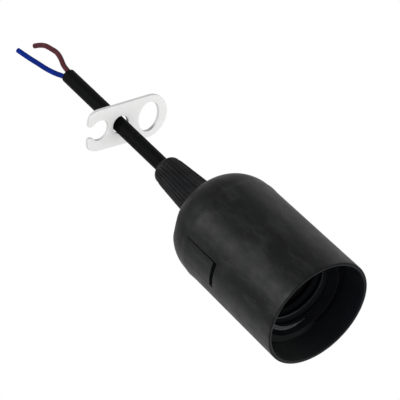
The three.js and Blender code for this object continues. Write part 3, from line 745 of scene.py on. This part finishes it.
def plate_outlines():
    """The plate's closed outlines, flat: its outer edge, the cord hole and the oval eye."""
    hook = (-HOOK_TO_HOLE, 0.0)
    eye = (HOOK_TO_EYE - HOOK_TO_HOLE, 0.0)
    tangent = math.degrees(math.acos((HOOK_RADIUS - EYE_OUTER) / HOOK_TO_EYE))
    arm = arc(hook, HOOK_RADIUS, tangent, HOOK_ARM_END, 12)
    tip = arc((hook[0] - HOOK_TIP_ALONG, HOOK_TIP_ACROSS), HOOK_TIP_RADIUS, 150, 325, 14)
    upper = arm + bulging_line(arm[-1], tip[0], HOOK_ARM_BULGE) + tip
    lower = [(x, -y) for x, y in reversed(upper)]
    edge = arc(eye, EYE_OUTER, -tangent, tangent, 56) + upper
    edge += arc(hook, HOOK_INNER, HOOK_MOUTH, -HOOK_MOUTH, 44) + lower
    hole = circle((CORD_HOLE_SHIFT, 0), CORD_HOLE_RADIUS, 48)
    oval = [(eye[0] + EYE_ALONG * x, EYE_ACROSS * y) for x, y in circle((0, 0), 1.0, 56)]
    return edge, hole, oval


def make_plate():
    """The plate: a flat curve filled between its outlines, given its thickness and round edges."""
    curve = bpy.data.curves.new("plate_outline", "CURVE")
    curve.dimensions = "2D"
    curve.fill_mode = "BOTH"
    curve.extrude = (PLATE_THICKNESS / 2 - PLATE_BEVEL) * MM
    curve.bevel_depth = PLATE_BEVEL * MM
    curve.bevel_resolution = 4
    curve.offset = -PLATE_BEVEL * MM
    for points in plate_outlines():
        spline = curve.splines.new("POLY")
        spline.points.add(len(points) - 1)
        for spot, (x, y) in zip(spline.points, points):
            spot.co = (x * MM, y * MM, 0.0, 1.0)
        spline.use_cyclic_u = True
    flat = new_object("plate_outline", curve)
    mesh = weld(plain_mesh(flat), 2e-6)
    bpy.data.objects.remove(flat)
    mesh.transform(Matrix.Translation(PLATE_MIDDLE) @ PLATE_POSE)
    return finish_piece("hanger", mesh, WHITE, "hanger", ["hanger_plate"], sharp=50.0)


hanger = make_plate()
tuple(place(0, 0, NUT_TOP))


# Shell

def shell_rows():
    """Rows of the shell's wall from the mouth up: height and radius outside, then inside."""
    lip = [(0.0, 0.40, 0.40), (0.05, 0.20, 0.20), (0.16, 0.06, 0.07), (0.40, 0.0, 0.0)]
    rows = [(h, MOUTH_RADIUS - outer, h, MOUTH_BORE + inner) for h, outer, inner in lip]
    heights = [2, 5, BORE_TAPER_TOP, 12, 16, 20, 24, 28, 30.5, TONGUE_FOOT - FOOT_GAP, 33.15, TONGUE_FOOT]
    heights += [36, 38.5, 41, 43.5, 45.5, 46.5, 47.5, 48.3, TONGUE_ROOT, 49.6, 50.1, 50.6]
    for h in heights:
        outside = MOUTH_RADIUS + (SHOULDER_RADIUS - MOUTH_RADIUS) * h / TONGUE_ROOT
        outside += (DOME_RADIUS - outside) * smooth_step(h, *SHOULDER_FALL)
        inside = MOUTH_BORE + (SKIRT_BORE - MOUTH_BORE) * min(h / BORE_TAPER_TOP, 1.0)
        inside += (DOME_RADIUS - DOME_WALL - inside) * smooth_step(h, TONGUE_ROOT, DOME_START)
        rows.append((h, outside, h, inside))
    centre = DOME_RADIUS - DOME_CORNER
    outer = arc((centre, DOME_START), DOME_CORNER, 0, 90, 60)
    inner = arc((centre, DOME_START), DOME_CORNER - DOME_WALL, 0, 90, 60)
    for (radius, height), (inner_radius, inner_height) in zip(outer, inner):
        left = (SHOULDER_RADIUS - DOME_RADIUS) * (1.0 - smooth_step(height, *SHOULDER_FALL))
        rows.append((height, radius + left, inner_height, inner_radius))
    dome_top = DOME_START + DOME_CORNER
    rows += [
        (dome_top, NIPPLE_RADIUS, dome_top - DOME_WALL, NIPPLE_THROAT),
        (dome_top + 0.4, NIPPLE_RADIUS, dome_top - 0.2, NIPPLE_THROAT),
        (dome_top + 0.6, NIPPLE_RADIUS, dome_top, NIPPLE_BORE),
        (NIPPLE_TOP - 0.2, NIPPLE_RADIUS, NIPPLE_TOP - 0.2, NIPPLE_BORE),
        (NIPPLE_TOP, NIPPLE_RADIUS - 0.2, NIPPLE_TOP, NIPPLE_BORE + 0.1),
    ]
    return rows


def shell_columns():
    """Turns of the shell's columns, with one at each edge of the tongues' slits."""
    step, clearance = 2.5, 0.9
    columns = [i * step for i in range(round(360 / step))]
    for middle in TONGUE_TURNS:
        for edge in (-SLIT_OUTER, -SLIT_INNER, SLIT_INNER, SLIT_OUTER):
            columns = [turn for turn in columns if abs(turn - (middle + edge)) > clearance]
            columns.append(middle + edge)
    return sorted(columns)


def in_slit(height, turn):
    """True in the slits beside a tongue and in the gap below its free end."""
    for middle in TONGUE_TURNS:
        off = abs(turn - middle)
        if TONGUE_FOOT - FOOT_GAP < height < TONGUE_FOOT and off < SLIT_OUTER:
            return True
        if TONGUE_FOOT < height < TONGUE_ROOT and SLIT_INNER < off < SLIT_OUTER:
            return True
    return False


def slit_edge(turn, height):
    """Moves the outer edge of a slit inwards towards the tongue's root, so that the slit tapers. The
    slit on the clockwise side is narrower from its foot up."""
    for middle in TONGUE_TURNS:
        off = turn - middle
        if abs(abs(off) - SLIT_OUTER) < 0.01:
            share = min(max((height - TONGUE_FOOT) / (TONGUE_ROOT - TONGUE_FOOT), 0.0), 1.0)
            shift = SLIT_TAPER * share
            if off < 0:
                shift = CLOSED_SLIT + CLOSED_TAPER * share
                shift *= smooth_step(height, *CLOSED_RISE)
            shift *= 1.0 - smooth_step(height, TONGUE_ROOT, SLIT_FADE)
            return turn - math.copysign(shift, off)
    return turn


def shell_swell(turn, height, radius):
    """How far the outside stands out from its plain round shape: the moulding is a little full over
    each tongue's root, with a shallow thumb dent in the dome above it."""
    offs = [(turn - middle + 180) % 360 - 180 for middle in TONGUE_TURNS]
    full = smooth_step(height, *SWELL_RISE) * (1.0 - smooth_step(height, *SWELL_FALL))
    full *= SWELL * (1.0 - smooth_step(min(abs(off) for off in offs), *SWELL_SIDES))
    along = (height - DENT_HEIGHT) / DENT_SLOPE
    across = math.radians(min(abs(off - DENT_TURN) for off in offs)) * radius
    dent = DENT_DEPTH * math.exp(-(along * along / DENT_ALONG + across * across / DENT_ACROSS))
    return full - dent * (height > DOME_START)


def shell_faces(rows, columns):
    """Faces of the shell's outer and inner skins, open at the slits, with walls round each opening and
    at both ends."""
    across = len(columns)

    def outer(corner):
        return corner[0] * across + corner[1] % across

    def inner(corner):
        return len(rows) * across + outer(corner)

    def wall(start, end):
        return outer(start), inner(start), inner(end), outer(end)

    def is_open(i, j):
        if not 0 <= i < len(rows) - 1:
            return False
        left, right = columns[j % across], columns[(j + 1) % across]
        right += 360.0 * (right < left)
        return in_slit((rows[i][0] + rows[i + 1][0]) / 2, (left + right) / 2)

    faces = []
    for i in range(len(rows) - 1):
        for j in range(across):
            a, b, c, d = (i, j), (i, j + 1), (i + 1, j + 1), (i + 1, j)
            if not is_open(i, j):
                faces.append((outer(a), outer(b), outer(c), outer(d)))
                faces.append((inner(a), inner(d), inner(c), inner(b)))
                continue
            for beyond, start, end in (((i - 1, j), a, b), (b, b, c), (d, c, d), ((i, j - 1), d, a)):
                if not is_open(*beyond):
                    faces.append(wall(start, end))
    for i in (0, len(rows) - 1):
        faces += [wall((i, j), (i, j + 1)) for j in range(across)]
    return faces


def make_shell():
    """The shell, with the ribs that the insert rests on and a tooth inside each tongue."""
    rows, columns = shell_rows(), shell_columns()
    vertices = []
    for skin in ("outer", "inner"):
        for row in rows:
            height, radius = row[:2] if skin == "outer" else row[2:]
            rise = math.asin(min(max((height - DOME_START) / DOME_CORNER, 0.0), 1.0))
            for turn in columns:
                swell = shell_swell(turn, height, radius) if skin == "outer" else 0.0
                x, y = polar(radius + swell * math.cos(rise), slit_edge(turn, height))
                vertices.append(place(x, y, height + swell * math.sin(rise)))
    faces = shell_faces(rows, columns)
    for n in range(SKIRT_RIBS):
        add_box(SKIRT_RIB, 360 * n / SKIRT_RIBS, vertices, faces)
    for turn in TONGUE_TURNS:
        add_box(TONGUE_TOOTH, turn, vertices, faces)
    finish_piece("shell", mesh_from(vertices, faces), SHELL, "holder",
                 ["outer_shell"], sharp=32.0)


make_shell()


# Threaded barrel

def thread_tree():
    """Presses a lamp thread into a plain bore: every point between the thread's ends moves towards
    the axis by the thread's wave at its height and turn. The lead-in face gets a ridge that starts in
    a tapered tip, as the thread's first turn runs out into it."""
    tree, value = new_tree("lamp_thread", [
        "Pitch", "Depth", "Start", "End", "Fade", "Lead", "Bore", "Ridge start", "Ridge height",
        "Ridge inner", "Ridge outer"])
    x, y, z = parts(tree, add(tree, "GeometryNodeInputPosition"))
    radius = (x * x + y * y).one("SQRT")
    turn = turn_of(tree, x, y)
    height = z - value["Start"]
    phase = (height - value["Lead"]) / value["Pitch"] * (2 * math.pi) - turn * (math.pi / 180)
    wave = (phase.one("COSINE") + 1.0) / 2.0
    run_in = height.smooth(0.0, value["Fade"])
    run_out = (value["End"] - value["Start"] - height).smooth(0.0, value["Fade"])
    inward = value["Depth"] * wave * run_in.low(run_out) * (radius < value["Bore"])
    scale = (radius - inward) / radius
    ridge = (turn - value["Ridge start"]).band(RIDGE_RISE, RIDGE_FALL)
    inner, outer = value["Ridge inner"], value["Ridge outer"]
    width = radius.band((inner - 0.2 * MM, inner), (outer - 0.35 * MM, outer))
    drop = value["Ridge height"] * ridge * width * (height < 0.0)
    moved = add(tree, "ShaderNodeCombineXYZ", inputs=[x * scale, y * scale, z - drop])
    shaped = add(tree, "GeometryNodeSetPosition", inputs={"Geometry": value["Geometry"], "Position": moved})
    return end_tree(tree, shaped, value["Material"])


def make_barrel():
    """The barrel: its plain profile turned about the axis, then threaded."""
    front, ledge = FLANGE_FRONT, LEDGE_HEIGHT
    outside = [(FLANGE_BORE, front), (FLANGE_RADIUS - 0.2, front), (FLANGE_RADIUS, front + 0.2),
               (FLANGE_RADIUS, ledge), (BARREL_RADIUS, FLANGE_BACK), (BARREL_RADIUS, REAR_FLANGE - 0.3),
               (BARREL_RADIUS + 0.3, REAR_FLANGE), (FLANGE_RADIUS, REAR_FLANGE),
               (FLANGE_RADIUS, BARREL_TOP), (THREAD_ROOT, BARREL_TOP)]
    bore = line_between((THREAD_ROOT, THREAD_END), (THREAD_ROOT, THREAD_START), 140)
    lead = [(THREAD_ROOT + 0.12, ledge + 0.07), (THREAD_ROOT + 0.25, ledge + 0.04), (LEDGE_BORE, ledge)]
    lead += line_between((LEDGE_RADIUS, ledge), (CONE_RADIUS, CONE_FRONT), 16)
    mesh = grown(turned_mesh(outside + bore + lead, 180), thread_tree(), {
        "Pitch": THREAD_PITCH * MM, "Depth": (THREAD_ROOT - THREAD_CREST) * MM,
        "Start": (THREAD_START - JACKET_END) * MM, "End": (THREAD_END - JACKET_END) * MM,
        "Fade": THREAD_FADE * MM, "Lead": THREAD_LEAD * MM, "Bore": (THREAD_ROOT + 0.05) * MM,
        "Ridge start": RIDGE_START, "Ridge height": RIDGE_HEIGHT * MM,
        "Ridge inner": LEDGE_BORE * MM, "Ridge outer": RIDGE_RADIUS * MM,
        "Material": INSERT})
    finish_piece("barrel", mesh, INSERT, "holder", ["thread_barrel"], sharp=40.0)


make_barrel()


# Gland nut

def rib_tree():
    """Ribs round a cone: one tapered rib swept up the side, copied round and joined to the cone."""
    tree, value = new_tree(
        "cone_ribs", ["Foot radius", "Top radius", "Foot height", "Top height", "Rib radius"], ["Ribs"])
    foot = add(tree, "ShaderNodeCombineXYZ", inputs=[value["Foot radius"], 0.0, value["Foot height"]])
    top = add(tree, "ShaderNodeCombineXYZ", inputs=[value["Top radius"], 0.0, value["Top height"]])
    line = add(tree, "GeometryNodeCurvePrimitiveLine", inputs={"Start": foot, "End": top})
    fine = add(tree, "GeometryNodeResampleCurve", inputs={"Curve": line, "Count": 18})
    along = add(tree, "GeometryNodeSplineParameter")
    taper = along.smooth(0.0, 0.06, 0.15, 1.0) * (1.0 - along).smooth(0.0, 0.10, 0.15, 1.0)
    size = taper * (1.0 - along * 0.22)
    sized = add(tree, "GeometryNodeSetCurveRadius", inputs={"Curve": fine, "Radius": size})
    ring = add(tree, "GeometryNodeCurvePrimitiveCircle",
               inputs={"Resolution": 12, "Radius": value["Rib radius"]})
    rib = add(tree, "GeometryNodeCurveToMesh",
              inputs={"Curve": sized, "Profile Curve": ring, "Scale": size, "Fill Caps": True})
    spots = add(tree, "GeometryNodePoints", inputs={"Count": value["Ribs"]})
    number = add(tree, "GeometryNodeInputIndex")
    turn = add(tree, "ShaderNodeCombineXYZ", inputs=[0.0, 0.0, number * (2 * math.pi) / value["Ribs"]])
    copies = add(tree, "GeometryNodeInstanceOnPoints",
                 inputs={"Points": spots, "Instance": rib, "Rotation": turn})
    return end_tree(tree, join(tree, value["Geometry"], copies), value["Material"])


def nut_radius(height):
    """The cone's radius over its ribs."""
    share = (height - NUT_FOOT) / (NUT_TOP - NUT_FOOT)
    return NUT_FOOT_RADIUS + (NUT_TOP_RADIUS - NUT_FOOT_RADIUS) * share


def make_nut():
    """The nut: a plain cone with a round cap and its bore, then ribbed."""
    sunk = RIB_DEPTH / 2
    side_rows = (NUT_FOOT + 0.2, 70.0, 75.0, 80.0, 84.0, 87.8)
    profile = [(nut_radius(NUT_FOOT) - sunk - 0.2, NUT_FOOT)]
    profile += [(nut_radius(h) - sunk, h) for h in side_rows]
    profile += arc((NUT_CAP_RADIUS - NUT_ROUND, NUT_TOP - NUT_ROUND), NUT_ROUND, 0, 90, 12)
    profile += [(NUT_CORD_BORE + 0.2, NUT_TOP), (NUT_CORD_BORE + 0.05, NUT_TOP - 0.15),
                (NUT_CORD_BORE, NUT_TOP - 0.4), (NUT_CORD_BORE, NUT_SEAT), (NUT_SEAT_RADIUS, NUT_SEAT),
                (NUT_BORE - 0.2, NUT_SEAT - 1.75), (NUT_BORE, NUT_SEAT - 2.2), (NUT_BORE, NUT_FOOT)]
    mesh = grown(turned_mesh(profile, 120), rib_tree(), {
        "Ribs": RIBS, "Rib radius": RIB_RADIUS * MM,
        "Foot radius": (nut_radius(RIB_FOOT) - RIB_FOOT_SUNK) * MM,
        "Top radius": (nut_radius(RIB_TOP) - RIB_TOP_SUNK) * MM,
        "Foot height": (RIB_FOOT - JACKET_END) * MM, "Top height": (RIB_TOP - JACKET_END) * MM,
        "Material": NUT})
    finish_piece("nut", mesh, NUT, "holder", ["gland_nut"], sharp=40.0)


make_nut()


# Pieces kept as the CAD makes them

def dress(names, material):
    """Gives CAD nodes their finish."""
    for name in names:
        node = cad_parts[name]
        node.data.materials.clear()
        node.data.materials.append(material)
        for slot in node.material_slots:
            slot.material = material


dress(["contact_base"], BASE)
dress(["grip_collet"], NUT)
dress(["centre_contact", "side_contact", "live_terminal", "neutral_terminal", "live_rivet",
       "neutral_rivet"], BRASS)
dress(["live_terminal_screw", "neutral_terminal_screw", "insert_screw_1", "insert_screw_2"], STEEL)
dress(["blue_strand", "brown_strand"], COPPER)


# Floor and light. Their sizes are in metres.

FLOOR_REACH, FLOOR_LEVEL = 6.0, -1.15
LAMP_DISTANCE, LAMP_ELEVATION, LAMP_AIM = 1.3, 20.0, Vector((0.0, 0.0, -0.12))
SOFT_LIGHT = 0.93


def make_floor():
    reach, level = FLOOR_REACH, FLOOR_LEVEL
    mesh = bpy.data.meshes.new("floor")
    mesh.from_pydata([(-reach, -reach, level), (reach, -reach, level), (reach, reach, level),
                      (-reach, reach, level)], [], [(0, 1, 2, 3)])
    f = Finish("floor", Roughness=0.8)
    f.colour(f.mix(f.noise(120.0) * 0.15, (0.88, 0.88, 0.88), (0.82, 0.82, 0.82)))
    mesh.materials.append(f.material)
    new_object("floor", mesh)


def set_world():
    """A white world for the camera and in reflections, whose light on the object is a little less."""
    world = bpy.data.worlds.new("studio")
    world.use_nodes = True
    tree = world.node_tree
    tree.nodes.clear()
    rays = tree.nodes.new("ShaderNodeLightPath")
    seen = Flow(tree, rays.outputs["Is Camera Ray"])
    for kind in ("Is Glossy Ray", "Is Transmission Ray"):
        seen = seen.high(Flow(tree, rays.outputs[kind]))
    soft = add(tree, "ShaderNodeBackground", inputs={"Color": (1, 1, 1, 1), "Strength": SOFT_LIGHT})
    white = add(tree, "ShaderNodeBackground", inputs={"Color": (1, 1, 1, 1), "Strength": 1.0})
    both = add(tree, "ShaderNodeMixShader", inputs=[seen, soft, white])
    feed(tree, tree.nodes.new("ShaderNodeOutputWorld").inputs["Surface"], both)
    bpy.context.scene.world = world


def add_lamp(name, azimuth, width, depth, power):
    """A soft lamp seen from the object in the given direction from +X."""
    x, y = polar(math.cos(math.radians(LAMP_ELEVATION)), azimuth)
    way = Vector((x, y, math.sin(math.radians(LAMP_ELEVATION))))
    data = bpy.data.lights.new(name, "AREA")
    data.shape = "RECTANGLE"
    data.size = width
    data.size_y = depth
    data.energy = power
    lamp = new_object(name, data)
    axes = way.to_track_quat("Z", "Y").to_matrix().to_4x4()
    lamp.matrix_world = Matrix.Translation(LAMP_AIM + way * LAMP_DISTANCE) @ axes


make_floor()
set_world()
add_lamp("key", azimuth=-62.5, width=0.20, depth=0.16, power=18.5)
add_lamp("left", azimuth=-150.0, width=0.50, depth=0.50, power=2.5)
add_lamp("right", azimuth=62.0, width=0.50, depth=0.50, power=2.5)
